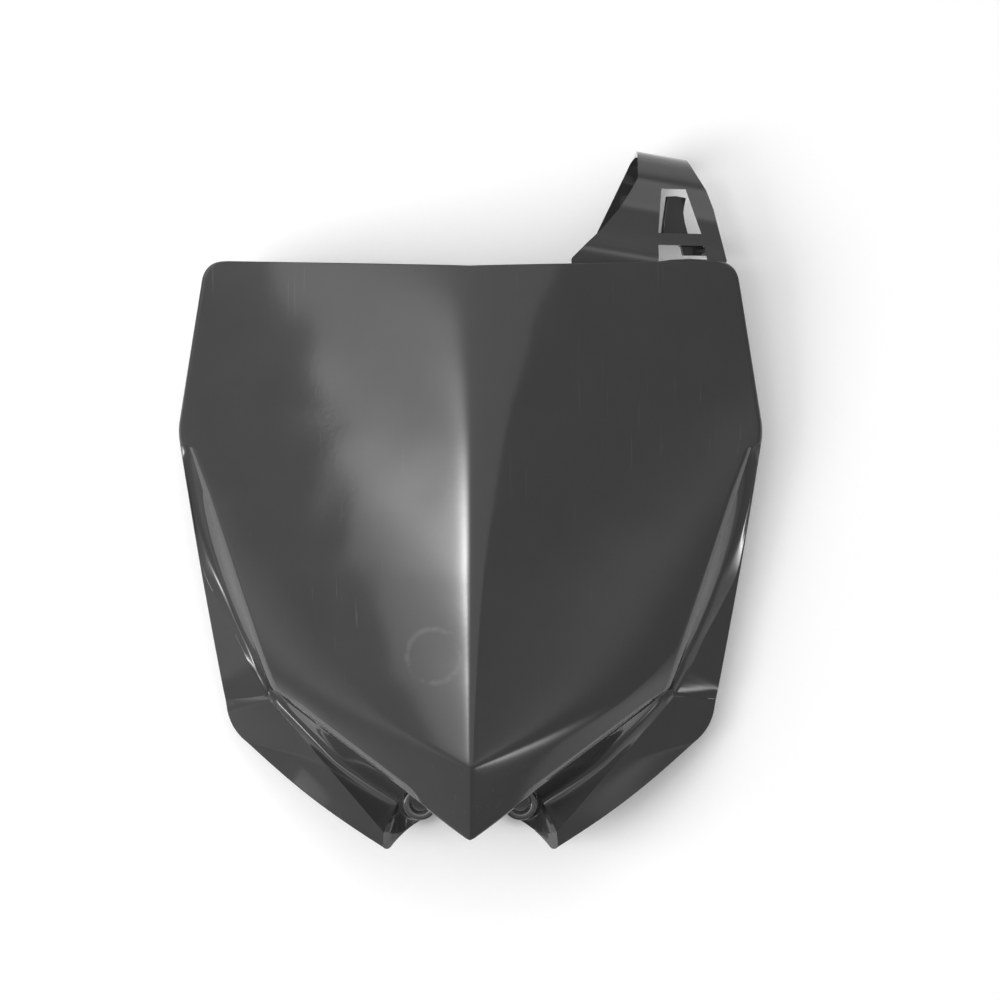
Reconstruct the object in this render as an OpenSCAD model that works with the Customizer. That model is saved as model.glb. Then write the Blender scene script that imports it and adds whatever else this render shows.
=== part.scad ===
// Racing number board: one moulded shell with a peg bridge behind its nose
// and a looped strap on its top right corner.
// Millimetres. X runs to the viewer's right, the face looks along -Y, +Z is up.
// The origin is midway between the two peg holes.

/* [Board] */
// Width at the shoulders, where the board is widest.
board_w = 248.4; // [210:0.4:290]
// Height of the top edge above the level of the tusks, 2.5 under the nose.
board_h = 245; // [210:1:280]
// Width across the top corners before they are rounded.
top_w = 224.4; // [200:0.4:236]
// Radius of the top corners.
corner_r = 8.5; // [4:0.5:12]
// Wall thickness of the moulding.
wall = 2.3; // [1.8:0.1:3]

/* [Prow] */
// Slope of the panels behind the ridge at the top edge.
slope_top = 0.32; // [0.25:0.01:0.4]
// Slope of the panels behind the ridge at the nose.
slope_low = 0.42; // [0.36:0.01:0.5]
// Crown of each panel between the ridge and its outer edge.
crown = 0.07; // [0:0.01:0.1]
// How far the top of the ridge leans back.
lean = 5; // [2:0.5:8]
// Height of the fold above the level of the tusks.
fold_z = 33; // [28:0.5:38]
// Slope of the chin below the fold.
chin_slope = 0.42; // [0.3:0.01:0.5]
// Slope by which the cheeks roll back along the sides.
cheek_slope = 0.25; // [0:0.01:0.35]

/* [Wings and tusks] */
// Depth of the step between the shield and the wing at its deepest.
step_d = 5; // [3:0.5:7]
// Distance between the tips of the two tusks.
tusk_gap = 74; // [70:0.5:80]
// Depth of the valley between nose and tusk at the notch.
valley_d = 8; // [5:0.5:10]

/* [Peg bridge] */
// Distance between the two peg holes.
peg_gap = 42; // [40:0.5:44]
// Diameter of a peg hole.
peg_d = 8; // [6:0.1:9]
// Thickness of the bridge plate.
bridge_t = 3; // [2.5:0.1:4]

/* [Strap] */
// Distance from the centre line to the middle of the strap's top.
strap_x = 80.5; // [76:0.5:84]
// Height of the strap above the board's top edge.
strap_h = 46; // [42:0.5:54]
// Width of the strap over its top bend.
strap_w = 20; // [18:0.5:24]
// Thickness of the strap.
strap_t = 2.6; // [2.2:0.1:3]
// Depth of the strap loop, outside to outside.
loop_d = 34; // [30:0.5:40]
// Width of the upper window at its foot.
window_w = 18.5; // [15:0.5:19]

/* [Hidden] */
hw = board_w / 2;
sx = hw / 124.2;
sz = board_h / 245;
peg_x = peg_gap / 2;
peg_z = 17 * sz;
peg_y = 31;

// Feature points of the right half as [x, z] above the level of the tusks.
shoulder = [hw, 173 * sz];
shoulder_r = 5;
top_pt = [top_w / 2, board_h];
hip = [102.3 * sx, 46.4 * sz];
hip_r = 0.07 * norm(hip - shoulder);
gill = [122.3 * sx, 162.5 * sz];
gill_in = [119.2 * sx, 166.6 * sz];
apex = [85.5 * sx, 64.4 * sz];
nick = [27.6 * sx, 23 * sz];
nose_in = [16.2 * sx, 13 * sz];
nose = [0, 1.9 * sz];
crest_in = [86.2 * sx, 61 * sz];
crest_low = [tusk_gap / 2 + 1, 6.1 * sz];
tip_out = [tusk_gap / 2, -1.9 * sz];
tip_in = [tusk_gap / 2 - 4.3, -1.2 * sz];
top_dip = 3.5;

// Sub-part to draw, or all of them.

function mix(a, b, t) = a + (b - a) * t;
function clamp(v, a, b) = max(a, min(b, v));
function soft(t, r) = (t + sqrt(t * t + r * r)) / 2;
function ease(t) = t * t * (3 - 2 * t);

// Corner at b between a and c, rounded with trim length d, at t from 0 to 1.
function round_at(a, b, c, d, t) =
    let (
        p = b + (a - b) / norm(a - b) * d,
        q = b + (c - b) / norm(c - b) * d
    )
    mix(mix(p, b, t), mix(b, q, t), t);

// Depth of the shield's face behind the frontmost point of the ridge.
function spread(z) = 16 * sx + 0.29 * sx / sz * max(z, 0);
function shield_y(x, z) =
    let (
        t = clamp(z / board_h, 0, 1),
        a = mix(slope_low, slope_top, t),
        w = spread(z),
        s = x / w,
        rho = 0.03 + 0.11 * t * t,
        high = max(0, (z - 0.45 * board_h) / (0.55 * board_h)),
        below = (fold_z * sz + 0.43 * x - z) * 0.92,
        beyond = 0.88 * (x - 76 * sx) - 0.475 * (z - 70 * sz)
    )
    lean * high * high
        + a * w * (sqrt(s * s + rho * rho) - rho + crown * s * s)
        + chin_slope * soft(below, 0.6 + 0.12 * x)
        + cheek_slope * soft(beyond, 12);

// Rows of the face run from the ridge to the shield's edge.
n_corner = 4;
n_side = 6;
n_shoulder = 3;
n_gill = 12;
n_tusk = 10;
n_nose = 5;
i_gill = n_corner + n_side + n_shoulder;
i_apex = i_gill + n_gill;
i_nick = i_apex + n_tusk;
i_tip = i_nick + n_nose;
n_wall = 5;

side_0 = mix(top_pt, shoulder, corner_r / norm(shoulder - top_pt));
side_1 = mix(shoulder, top_pt, shoulder_r / norm(shoulder - top_pt));
gill_0 = round_at(top_pt, shoulder, gill, shoulder_r, 1);

function edge_pt(i) =
    i <= n_corner
    ? round_at([0, board_h], top_pt, shoulder, corner_r, i / n_corner)
    : i <= n_corner + n_side
    ? mix(side_0, side_1, (i - n_corner) / n_side)
    : i <= i_gill
    ? round_at(top_pt, shoulder, gill, shoulder_r,
        (i - n_corner - n_side) / n_shoulder)
    : i <= i_apex
    ? mix(gill_in, apex, (i - i_gill - 1) / (n_gill - 1))
    : i <= i_nick
    ? mix(apex, nick, (i - i_apex) / n_tusk)
    : nose_pt(pow((i - i_nick) / n_nose, 0.9) * 0.94);

function nose_pt(t) = mix(mix(nick, nose_in, t), mix(nose_in, nose, t), t);

// Height of each row on the centre line.
function ridge_z(i) =
    i <= n_corner
    ? board_h - top_dip - 8 * i / n_corner
    : i <= i_gill
    ? mix(board_h - top_dip - 8, 150 * sz, (i - n_corner) / (i_gill - n_corner))
    : i <= i_apex
    ? mix(150 * sz, 42 * sz, (i - i_gill) / n_gill)
    : i <= i_apex + 3
    ? mix(42 * sz, fold_z * sz, (i - i_apex) / 3)
    : i <= i_nick
    ? mix(fold_z * sz, 12.5 * sz, (i - i_apex - 3) / (n_tusk - 3))
    : mix(12.5 * sz, 2.5 * sz, (i - i_nick) / n_nose);

// Places of the columns between ridge and edge.
cols = [0, 0.01, 0.025, 0.05, 0.095, 0.17, 0.27, 0.4, 0.54, 0.69, 0.84];
n_roll = 3;
n_col = len(cols) - 1 + n_roll;
rim = 1.1;

// Rolled edge of the shield: its width and its depth at each row.
function roll_k(i) = clamp(min((i - i_gill) / 3, (i_nick + 1 - i) / 2), 0, 1);
function roll_w(i) = mix(1.3, 3.2, roll_k(i));
function roll_y(i) = mix(0.6, 1.7, roll_k(i));

function shield_pt(i, j) =
    let (
        e = edge_pt(i),
        c = [0, ridge_z(i)],
        full = norm(e - c),
        k = n_col - j,
        u = k >= n_roll ? cols[j]
            : 1 - min((1 - cols[len(cols) - 1]) * k / n_roll,
                roll_w(i) / full * pow(k / 2, 1.3)),
        p = mix(c, e, u),
        rolled = max(0, 1 - (1 - u) * full / roll_w(i))
    )
    [p[0], shield_y(p[0], p[1]) + roll_y(i) * rolled * rolled, p[1]];

// Lines of the wing outside the shield: valley, crest and outline.
function outline_pt(i) =
    i <= i_apex
    ? let (
        s = clamp((i - i_gill) / n_gill, 0, 1),
        t = 0.35 * ease(s) + 0.65 * s
    )
        mix(gill_0, mix(shoulder, hip, 0.9), t) + [0.6 * sx, 0] * sin(180 * t)
    : i <= i_apex + 5
    ? round_at(shoulder, hip, tip_out, hip_r, (i - i_apex) / 5)
    : let (t = (i - i_apex - 5) / (n_tusk - 5))
        mix(round_at(shoulder, hip, tip_out, hip_r, 1), tip_out, t)
            + [1.1 * sx, -1.45 * sz] * sin(180 * t);

// Share of the way from the shield's edge to the outline, along the gill.
crest_share = [[0, 0.95], [0.5, 0.95], [0.6, 0.68], [0.78, 0.35], [0.95, 0.21], [1, 0.1]];
vale_share = [[0, 0.88], [0.29, 0.87], [0.46, 0.66], [0.58, 0.49], [0.78, 0.26], [1, 0.08]];

function crest_pt(i) =
    i < i_apex
    ? mix(edge_pt(i), outline_pt(i), lookup((i - i_gill) / n_gill, crest_share))
    : let (t = (i - i_apex) / n_tusk)
        mix(crest_in, crest_low, t) - [1.6, 1.8 * sz] * pow(t, 8);

function vale_pt(i) =
    i < i_apex
    ? mix(edge_pt(i), outline_pt(i), lookup((i - i_gill) / n_gill, vale_share))
    : mix(edge_pt(i), crest_pt(i),
        lookup((i - i_apex) / n_tusk, [[0, 0.6], [0.55, 0.7], [1, 0.32]]));

function edge_y(i) = let (e = edge_pt(i)) shield_y(e[0], e[1]) + roll_y(i);
apex_y = shield_y(apex[0], apex[1]);
tusk_y = peg_y + 2;

function gill_k(i) =
    let (t = (i - i_gill) / n_gill)
    t < 0.55 ? ease(t / 0.55) : ease((1 - t) / 0.45);

function crest_y(i) =
    i <= i_apex
    ? edge_y(i) + 0.75 * step_d * gill_k(i) + 0.3 * (crest_pt(i)[0] - edge_pt(i)[0])
    : mix(apex_y + 1, tusk_y, (i - i_apex) / n_tusk);

function vale_y(i) =
    i <= i_apex
    ? edge_y(i) + step_d * gill_k(i) + 0.3 * (vale_pt(i)[0] - edge_pt(i)[0])
    : let (t = (i - i_apex) / n_tusk)
        max(crest_y(i) + valley_d * t * t, edge_y(i) + 0.4);

function outline_y(i) =
    crest_y(i) + 0.6 * norm(outline_pt(i) - crest_pt(i)) * mix(1, 0.55,
        clamp((i - i_apex) / n_tusk, 0, 1)) + 0.5;

// Columns of the wing, counted outward from the shield's edge.
n_wing = 9;
function wing_row(i, k) =
    let (
        e = edge_pt(i),
        v = vale_pt(i),
        c = crest_pt(i),
        q = outline_pt(i),
        far = max(norm(q - c), 0.01),
        t = k <= 3 ? k / 3
            : k <= 6 ? (k - 3) / 3
            : k <= 8 ? (k - 6) / 2 * (1 - min(0.4, rim / far)) : 1,
        p = k <= 3 ? mix(e, v, t) : k <= 6 ? mix(v, c, t) : mix(c, q, t),
        ye = edge_y(i),
        yv = vale_y(i),
        yc = crest_y(i),
        yq = outline_y(i),
        y = k <= 3 ? mix(ye, yv, sin(90 * t))
            : k <= 6 ? mix(yv, yc, 1 - cos(90 * t))
            : k <= 8 ? mix(yc, yq - 0.5, t) : yq
    )
    [p[0], y, p[1]];

// Return wall of the notch, from the last wing row back to a hollow arc.
function arc_pt(k) =
    let (
        t = k / n_wing,
        a = [peg_x - 3.9, peg_z - 6.5],
        b = [25.5 * sx, 7.6 * sz],
        c = tip_in
    )
    mix(mix(a, b, t), mix(b, c, t), t);
function wall_pt(m, k) =
    let (
        f = wing_row(i_nick, k),
        b = arc_pt(k),
        back = [b[0], mix(peg_y + 12, tusk_y + 7, k / n_wing), b[1]],
        t = m / n_wall,
        far = 1 - k / n_wing,
        out = 2 * t * (1 - t) * far * far
    )
    mix(f, back, t) + [7.6 * out, 2.5 * sin(180 * t) * far, -7.6 * out]
        - [0, 0, 1.4 * sz * 4 * t * (1 - t) * pow(1 - far, 6)];

function any_pt(i, j) =
    j <= n_col ? shield_pt(i, j)
    : i <= i_gill ? shield_pt(i, n_col)
    : i <= i_nick ? wing_row(i, j - n_col - 1)
    : wall_pt(min(i - i_nick, n_wall), j - n_col - 1);

// Columns run over the shield, then from its edge over the wing.
n_all = n_col + 1 + n_wing;
rows = [for (i = [0:i_tip]) [for (j = [0:n_all]) any_pt(i, j)]];

// How much further back the inner face lies, so that the wall keeps its
// thickness on sloping ground.
function thick(i, j) =
    let (
        wing = j > n_col,
        a = rows[i][max(wing ? n_col + 1 : 0, j - 1)],
        b = rows[i][min(wing ? n_all : n_col, j + 1)],
        c = rows[max(wing ? i_gill + 1 : 0, i - 1)][j],
        d = rows[min(wing ? i_nick + n_wall : i_tip, i + 1)][j],
        n = cross(b - a, d - c),
        most = wing ? mix(1.15, 1.9, clamp((i - i_gill) / 7, 0, 1)) : 1.6
    )
    wall * clamp(norm(n) / max(abs(n[1]), 0.001), 1.02, most);

// Point numbers: outer face first, then the inner one, from left to right.
per_row = 2 * n_all + 1;
layer = per_row * (i_tip + 1);
function id(l, i, j) =
    let (
        c = i <= i_gill ? min(abs(j), n_col)
            : i <= i_nick && abs(j) == n_col + 1 ? n_col : abs(j)
    )
    l * layer + i * per_row + n_all + sign(j) * c;

points = [
    for (l = [0, 1])
    for (i = [0:i_tip])
    for (j = [-n_all:n_all])
        let (p = rows[i][abs(j)], y = p[1] + l * thick(i, abs(j)))
        [sign(j) * p[0], y, p[2]]
];

function tri(a, b, c) = a == b || b == c || a == c ? [] : [[a, b, c]];
function quad(flip, a, b, c, d) =
    flip ? concat(tri(c, b, a), tri(d, c, a)) : concat(tri(a, b, c), tri(a, c, d));

function patch(l, s, i0, i1, j0, j1) = [
    for (i = [i0:i1 - 1])
    for (j = [j0:j1 - 1])
    for (f = quad((l == 0) == (s > 0),
        id(l, i, s * j), id(l, i + 1, s * j),
        id(l, i + 1, s * (j + 1)), id(l, i, s * (j + 1))))
        f
];

// The edge of the face as a line of [row, column], from the top to the nose.
edge_line = concat(
    [for (j = [0:n_col]) [0, j]],
    [for (i = [1:i_gill]) [i, n_col]],
    [for (i = [i_gill + 1:i_nick + n_wall]) [i, n_all]],
    [for (k = [n_wing - 1:-1:0]) [i_nick + n_wall, n_col + 1 + k]],
    [for (m = [n_wall - 1:-1:1]) [i_nick + m, n_col + 1]],
    [for (i = [i_nick:i_tip]) [i, n_col]],
    [for (j = [n_col - 1:-1:0]) [i_tip, j]]
);

function rim_faces(s) = [
    for (n = [0:len(edge_line) - 2])
    let (p = edge_line[n], q = edge_line[n + 1])
    for (f = quad(s > 0,
        id(0, p[0], s * p[1]), id(0, q[0], s * q[1]),
        id(1, q[0], s * q[1]), id(1, p[0], s * p[1])))
        f
];

faces = concat(
    [for (l = [0, 1]) for (s = [-1, 1]) for (f = patch(l, s, 0, i_tip, 0, n_col)) f],
    [for (l = [0, 1]) for (s = [-1, 1])
        for (f = patch(l, s, i_gill, i_nick + n_wall, n_col + 1, n_all)) f],
    [for (s = [-1, 1]) for (f = rim_faces(s)) f]
);

module shell() {
    polyhedron(points = points, faces = faces, convexity = 8);
}

// Plate behind the nose that joins the two notch walls and holds the pegs.
collar_r = peg_d / 2 + 3.2;
collar_h = 3;
// Half width of the bridge, out into the notch walls and round the pegs.
bridge_half = max(nick[0] - 0.1, peg_x + 6.5);
module bridge() {
    translate([0, peg_y + bridge_t / 2, 0])
        rotate([90, 0, 0])
        linear_extrude(bridge_t)
        polygon([
            [-bridge_half + 1.5, peg_z - 5.4], [-peg_x + 3, peg_z - 5],
            [-8, peg_z - 1], [8, peg_z - 1],
            [peg_x - 3, peg_z - 5], [bridge_half - 1.5, peg_z - 5.4],
            [bridge_half, peg_z + 3], [bridge_half - 0.5, peg_z + 9],
            [-bridge_half + 0.5, peg_z + 9], [-bridge_half, peg_z + 3]
        ]);
    for (s = [-1, 1])
        translate([s * peg_x, peg_y + bridge_t / 2, peg_z])
        rotate([90, 0, 0])
        cylinder(h = bridge_t + collar_h, r = collar_r, $fn = 48);
}

// The bores run clear through the collars and whatever lies behind them.
module bores() {
    for (s = [-1, 1])
        translate([s * peg_x, peg_y + 20, peg_z])
        rotate([90, 0, 0])
        cylinder(h = 20 + bridge_t / 2 + collar_h + 0.5, d = peg_d, $fn = 48);
}

// Side line of the strap as [depth behind the board, height over its edge].
arc_r = loop_d / 2 - 4.2;
arc_c = [loop_d / 2 + 1.6, strap_h - strap_t / 2 - arc_r];
strap_line = concat(
    [[root_d(-22), -22], [root_d(-11), -11], [root_d(0), 0], [3, 9], [5, 20]],
    [for (a = [172:-14:4]) arc_c + arc_r * [cos(a), sin(a)]],
    [[arc_c[0] + arc_r, 18], [arc_c[0] + arc_r - 0.3, 12]]
);
foot_line = concat(
    [[arc_c[0] + arc_r, 20]],
    [for (a = [0:-15:-90]) [arc_c[0] + arc_r - 9, 14] + 9 * [cos(a), sin(a)]],
    [[2, 4]]
);
function root_d(h) =
    1 + shield_y(strap_x, board_h + h) - shield_y(strap_x, board_h);
function normal_at(p, k) =
    let (
        a = p[max(0, k - 1)],
        b = p[min(len(p) - 1, k + 1)],
        d = (b - a) / norm(b - a)
    )
    [-d[1], d[0]];
function band(p, t) = concat(
    [for (k = [0:len(p) - 1]) p[k] + normal_at(p, k) * t / 2],
    [for (k = [len(p) - 1:-1:0]) p[k] - normal_at(p, k) * t / 2]
);

root_a = shield_y(strap_x - 24, board_h - 8);
root_b = shield_y(strap_x + 24, board_h - 8);
strap_y = shield_y(strap_x, board_h) + wall;
strap_turn = atan((root_b - root_a) / 48);
strap_tilt = 8;
module loop_band(line) {
    translate([strap_x, strap_y, board_h])
        rotate([0, strap_tilt, strap_turn])
        translate([-60, 0, 0])
        rotate([90, 0, 90])
        linear_extrude(120)
        polygon(band(line, strap_t));
}

// Flat outline in the plane of the view, swept from y0 to y1.
module through(y0, y1, outline) {
    translate([0, y1, 0])
        rotate([90, 0, 0])
        linear_extrude(y1 - y0)
        polygon(outline);
}
function over(dx, h) = [strap_x + dx, board_h + h];

top_l = -strap_w / 2;
top_r = strap_w / 2 - 0.6;
w0 = -1.3;
w1 = w0 + window_w;
strap_mid = strap_y + loop_d / 2;

module strap() {
    difference() {
        intersection() {
            loop_band(strap_line);
            through(strap_y - 20, strap_mid, [
                over(-36, -24), over(-38.3, 0), over(-31.4, 7),
                over(-25.2, 13), over(-17.6, 22), over(-12.5, 30), over(-9.9, 35),
                over(top_l, 40), over(top_l, 60), over(top_r + 0.5, 60),
                over(top_r + 1.5, 44), over(top_r + 5.2, 37.5), over(top_r + 9.9, 30),
                over(top_r + 13, 22), over(top_r + 18.6, 0), over(top_r + 16, -3),
                over(top_r + 12, -24)
            ]);
        }
        through(strap_y - 20, strap_mid - 2, [
            over(w0, 12), over(w0 + 1.3, 30.4), over(w0 + 11.7, 30.4), over(w1, 11.2)
        ]);
        through(strap_y - 20, strap_mid - 2, [
            over(w0, -1.4), over(w0, 6.8), over(w1 + 1.2, 6.1), over(w1 + 2.6, -1.4)
        ]);
    }
    intersection() {
        loop_band(strap_line);
        through(strap_mid - 1, strap_y + loop_d + 20, [
            over(-29.5, -4), over(-26.8, 12.7), over(-4, 60),
            over(top_r + 0.4, 60), over(top_r + 0.4, 42), over(top_r - 4, 35),
            over(-1.5, 30), over(-2, -4)
        ]);
    }
    intersection() {
        loop_band(foot_line);
        through(strap_y - 4, strap_y + loop_d + 20, [
            over(-29.3, -5), over(-26.6, 12.6), over(-24.4, 17.4), over(-1.6, 17.4),
            over(-2.3, -5)
        ]);
    }
    tongue();
}

// Slab parallel to the strap's front leg, from d0 to d1 behind the board.
module slab(d0, d1) {
    translate([strap_x, strap_y, board_h - 30])
        rotate([0, 0, strap_turn])
        translate([-60, d0, 0])
        cube([120, d1 - d0, 90]);
}

// Hook behind the windows, standing on the frame's right leg, and a ledge.
module tongue() {
    intersection() {
        slab(8.4, 11);
        through(strap_y - 10, strap_y + 40, [
            over(2.7, 27.2), over(10, 26.8), over(9, 23), over(9, 20.6),
            over(10.9, 11.9), over(17.7, 6.4), over(22.5, 6.4), over(22.5, 3),
            over(9.6, 3), over(8.8, 6.4), over(0.5, 11)
        ]);
    }
    intersection() {
        slab(2, 10);
        through(strap_y - 10, strap_y + 40, [
            over(18.2, 3.2), over(18.2, 6.2), over(22.2, 6.2), over(22.2, 3.2)
        ]);
    }
    intersection() {
        slab(0, 8);
        through(strap_y - 10, strap_y + 40, [
            over(-4, -4), over(-4, -1), over(3, 0.1), over(11, 0.6), over(18, 0.3),
            over(22, -1), over(22, -4)
        ]);
    }
}

module number_board() {
    color([0.26, 0.26, 0.265])
    translate([0, -peg_y, -peg_z]) {
        difference() {
            union() {
                shell();
                bridge();
                strap();
            }
            bores();
        }
    }
}

number_board();
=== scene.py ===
import math

import bmesh
import bpy
import numpy as np
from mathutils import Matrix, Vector


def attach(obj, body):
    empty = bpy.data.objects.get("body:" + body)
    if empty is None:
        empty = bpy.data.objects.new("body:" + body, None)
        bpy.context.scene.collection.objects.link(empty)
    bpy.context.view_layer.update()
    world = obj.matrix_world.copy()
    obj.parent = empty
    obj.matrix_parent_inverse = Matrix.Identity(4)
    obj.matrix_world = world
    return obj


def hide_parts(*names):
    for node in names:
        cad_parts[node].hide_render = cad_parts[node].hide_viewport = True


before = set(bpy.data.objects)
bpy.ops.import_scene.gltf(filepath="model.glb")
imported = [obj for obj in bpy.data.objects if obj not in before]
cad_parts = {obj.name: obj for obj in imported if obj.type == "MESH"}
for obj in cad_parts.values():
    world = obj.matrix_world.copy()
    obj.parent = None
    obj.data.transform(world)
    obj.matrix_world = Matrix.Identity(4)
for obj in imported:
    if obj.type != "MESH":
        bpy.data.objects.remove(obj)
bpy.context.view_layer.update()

MM = 0.001

# Sizes of the moulding, in millimetres, as in the CAD model.
BOARD_W, BOARD_H, TOP_W, CORNER_R, WALL = 248.4, 245.0, 224.4, 8.5, 2.3
SLOPE_TOP, SLOPE_LOW, CROWN, LEAN = 0.32, 0.42, 0.07, 5.0
FOLD_Z, CHIN_SLOPE, CHEEK_SLOPE = 33.0, 0.42, 0.25
STEP_D, TUSK_GAP, VALLEY_D = 5.0, 74.0, 8.0
PEG_X, PEG_D, PEG_Z, PEG_Y, BRIDGE_T = 21.0, 8.0, 17.0, 31.0, 3.0
COLLAR_R, COLLAR_H = 7.2, 3.0
STRAP_X, STRAP_H, STRAP_W, STRAP_T, LOOP_D = 80.5, 46.0, 20.0, 2.6, 34.0
WINDOW_W = 18.5
TOP_DIP = 3.5

HW = BOARD_W / 2


def v2(x, z):
    return np.array((x, z), float)


SHOULDER, SHOULDER_R = v2(HW, 173), 5
TOP_PT = v2(TOP_W / 2, BOARD_H)
HIP = v2(102.3, 46.4)
GILL, GILL_IN = v2(122.3, 162.5), v2(119.2, 166.6)
APEX = v2(85.5, 64.4)
NICK, NOSE_IN, NOSE = v2(27.6, 23), v2(16.2, 13), v2(0, 1.9)
CREST_IN, CREST_LOW = v2(86.2, 61), v2(TUSK_GAP / 2 + 1, 6.1)
TIP_OUT = v2(TUSK_GAP / 2, -1.9)
TIP_IN = v2(TUSK_GAP / 2 - 4.3, -1.2)


def mix(a, b, t):
    return a + (b - a) * t


def clamp(v, a, b):
    return max(a, min(b, v))


def soft(t, r):
    """0 for low t and t for high t, with a bend of radius r between them."""
    return (t + math.sqrt(t * t + r * r)) / 2


def ease(t):
    return t * t * (3 - 2 * t)


def norm(v):
    return float(np.linalg.norm(v))


def round_at(a, b, c, d, t):
    """Corner at b between a and c, rounded with trim length d, at t from 0 to 1."""
    p = b + (a - b) / norm(a - b) * d
    q = b + (c - b) / norm(c - b) * d
    return mix(mix(p, b, t), mix(b, q, t), t)


def shield_y(x, z):
    """Depth of the shield's face behind the frontmost point of the ridge."""
    t = clamp(z / BOARD_H, 0, 1)
    a = mix(SLOPE_LOW, SLOPE_TOP, t)
    w = 16 + 0.29 * max(z, 0)
    s = x / w
    rho = 0.03 + 0.11 * t * t
    high = max(0, (z - 0.45 * BOARD_H) / (0.55 * BOARD_H))
    below = (FOLD_Z + 0.43 * x - z) * 0.92
    beyond = 0.88 * (x - 76) - 0.475 * (z - 70)
    return (
        LEAN * high * high
        + a * w * (math.sqrt(s * s + rho * rho) - rho + CROWN * s * s)
        + CHIN_SLOPE * soft(below, 0.6 + 0.12 * x)
        + CHEEK_SLOPE * soft(beyond, 12)
    )


# Rows of the face run from the ridge to the shield's edge, counted down its side.
N_CORNER, N_SIDE, N_SHOULDER, N_GILL, N_TUSK, N_NOSE = 4, 6, 3, 12, 10, 5
I_GILL = N_CORNER + N_SIDE + N_SHOULDER
I_APEX = I_GILL + N_GILL
I_NICK = I_APEX + N_TUSK
I_TIP = I_NICK + N_NOSE
SIDE_0 = mix(TOP_PT, SHOULDER, CORNER_R / norm(SHOULDER - TOP_PT))
SIDE_1 = mix(SHOULDER, TOP_PT, SHOULDER_R / norm(SHOULDER - TOP_PT))
GILL_0 = round_at(TOP_PT, SHOULDER, GILL, SHOULDER_R, 1)
HIP_R = 0.07 * norm(HIP - SHOULDER)


def edge_pt(i):
    """Point of the shield's edge on row i, as [x, z]."""
    if i <= N_CORNER:
        return round_at(v2(0, BOARD_H), TOP_PT, SHOULDER, CORNER_R, i / N_CORNER)
    if i <= N_CORNER + N_SIDE:
        return mix(SIDE_0, SIDE_1, (i - N_CORNER) / N_SIDE)
    if i <= I_GILL:
        t = (i - N_CORNER - N_SIDE) / N_SHOULDER
        return round_at(TOP_PT, SHOULDER, GILL, SHOULDER_R, t)
    if i <= I_GILL + 1:
        return mix(GILL_0, GILL_IN, i - I_GILL)
    if i <= I_APEX:
        return mix(GILL_IN, APEX, (i - I_GILL - 1) / (N_GILL - 1))
    if i <= I_NICK:
        return mix(APEX, NICK, (i - I_APEX) / N_TUSK)
    t = ((i - I_NICK) / N_NOSE) ** 0.9 * 0.94
    return mix(mix(NICK, NOSE_IN, t), mix(NOSE_IN, NOSE, t), t)


def ridge_z(i):
    """Height at which row i leaves the ridge."""
    top = BOARD_H - TOP_DIP
    if i <= N_CORNER:
        return top - 8 * i / N_CORNER
    if i <= I_GILL:
        return mix(top - 8, 150, (i - N_CORNER) / (I_GILL - N_CORNER))
    if i <= I_APEX:
        return mix(150, 42, (i - I_GILL) / N_GILL)
    if i <= I_APEX + 3:
        return mix(42, FOLD_Z, (i - I_APEX) / 3)
    if i <= I_NICK:
        return mix(FOLD_Z, 12.5, (i - I_APEX - 3) / (N_TUSK - 3))
    return mix(12.5, 2.5, (i - I_NICK) / N_NOSE)


def outline_pt(i):
    """Point of the board's outline on row i, beyond the wing or tusk."""
    if i <= I_APEX:
        s = clamp((i - I_GILL) / N_GILL, 0, 1)
        t = 0.35 * ease(s) + 0.65 * s
        side = mix(GILL_0, mix(SHOULDER, HIP, 0.9), t)
        return side + v2(0.6, 0) * math.sin(math.pi * t)
    if i <= I_APEX + 5:
        return round_at(SHOULDER, HIP, TIP_OUT, HIP_R, (i - I_APEX) / 5)
    q = round_at(SHOULDER, HIP, TIP_OUT, HIP_R, 1)
    t = (i - I_APEX - 5) / (N_TUSK - 5)
    return mix(q, TIP_OUT, t) + v2(1.1, -1.45) * math.sin(math.pi * t)


def lookup(t, table):
    return float(np.interp(t, [p[0] for p in table], [p[1] for p in table]))


# Shares of the way from the shield's edge to the outline, as [place along, share].
CREST_SHARE = [(0, 0.95), (0.5, 0.95), (0.6, 0.68), (0.78, 0.35), (0.95, 0.21), (1, 0.1)]
VALE_SHARE = [(0, 0.88), (0.29, 0.87), (0.46, 0.66), (0.58, 0.49), (0.78, 0.26), (1, 0.08)]
TUSK_SHARE = [(0, 0.6), (0.55, 0.7), (1, 0.32)]


def smooth_lookup(t, table):
    return sum(lookup(t + k * 0.015, table) for k in range(-3, 4)) / 7


def crest_pt(i):
    """Point of the crest between the step and the wing or tusk."""
    if i <= I_APEX:
        t = (i - I_GILL) / N_GILL
        p = mix(edge_pt(i), outline_pt(i), smooth_lookup(t, CREST_SHARE))
        return mix(p, CREST_IN, ease(clamp((t - 0.93) / 0.07, 0, 1)))
    t = (i - I_APEX) / N_TUSK
    return mix(CREST_IN, CREST_LOW, t) - v2(1.6, 1.8) * t ** 8


def vale_pt(i):
    """Point of the foot of the step."""
    if i <= I_APEX:
        t = (i - I_GILL) / N_GILL
        p = mix(edge_pt(i), outline_pt(i), smooth_lookup(t, VALE_SHARE))
        q = mix(APEX, CREST_IN, TUSK_SHARE[0][1])
        return mix(p, q, ease(clamp((t - 0.93) / 0.07, 0, 1)))
    return mix(edge_pt(i), crest_pt(i), smooth_lookup((i - I_APEX) / N_TUSK, TUSK_SHARE))


def roll_k(i):
    """1 where the shield's edge has its full roll, 0 where it has the small one."""
    return clamp(min((i - I_GILL) / 3, (I_NICK + 1 - i) / 2), 0, 1)


def roll_w(i):
    return mix(1.3, 3.2, roll_k(i))


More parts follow.
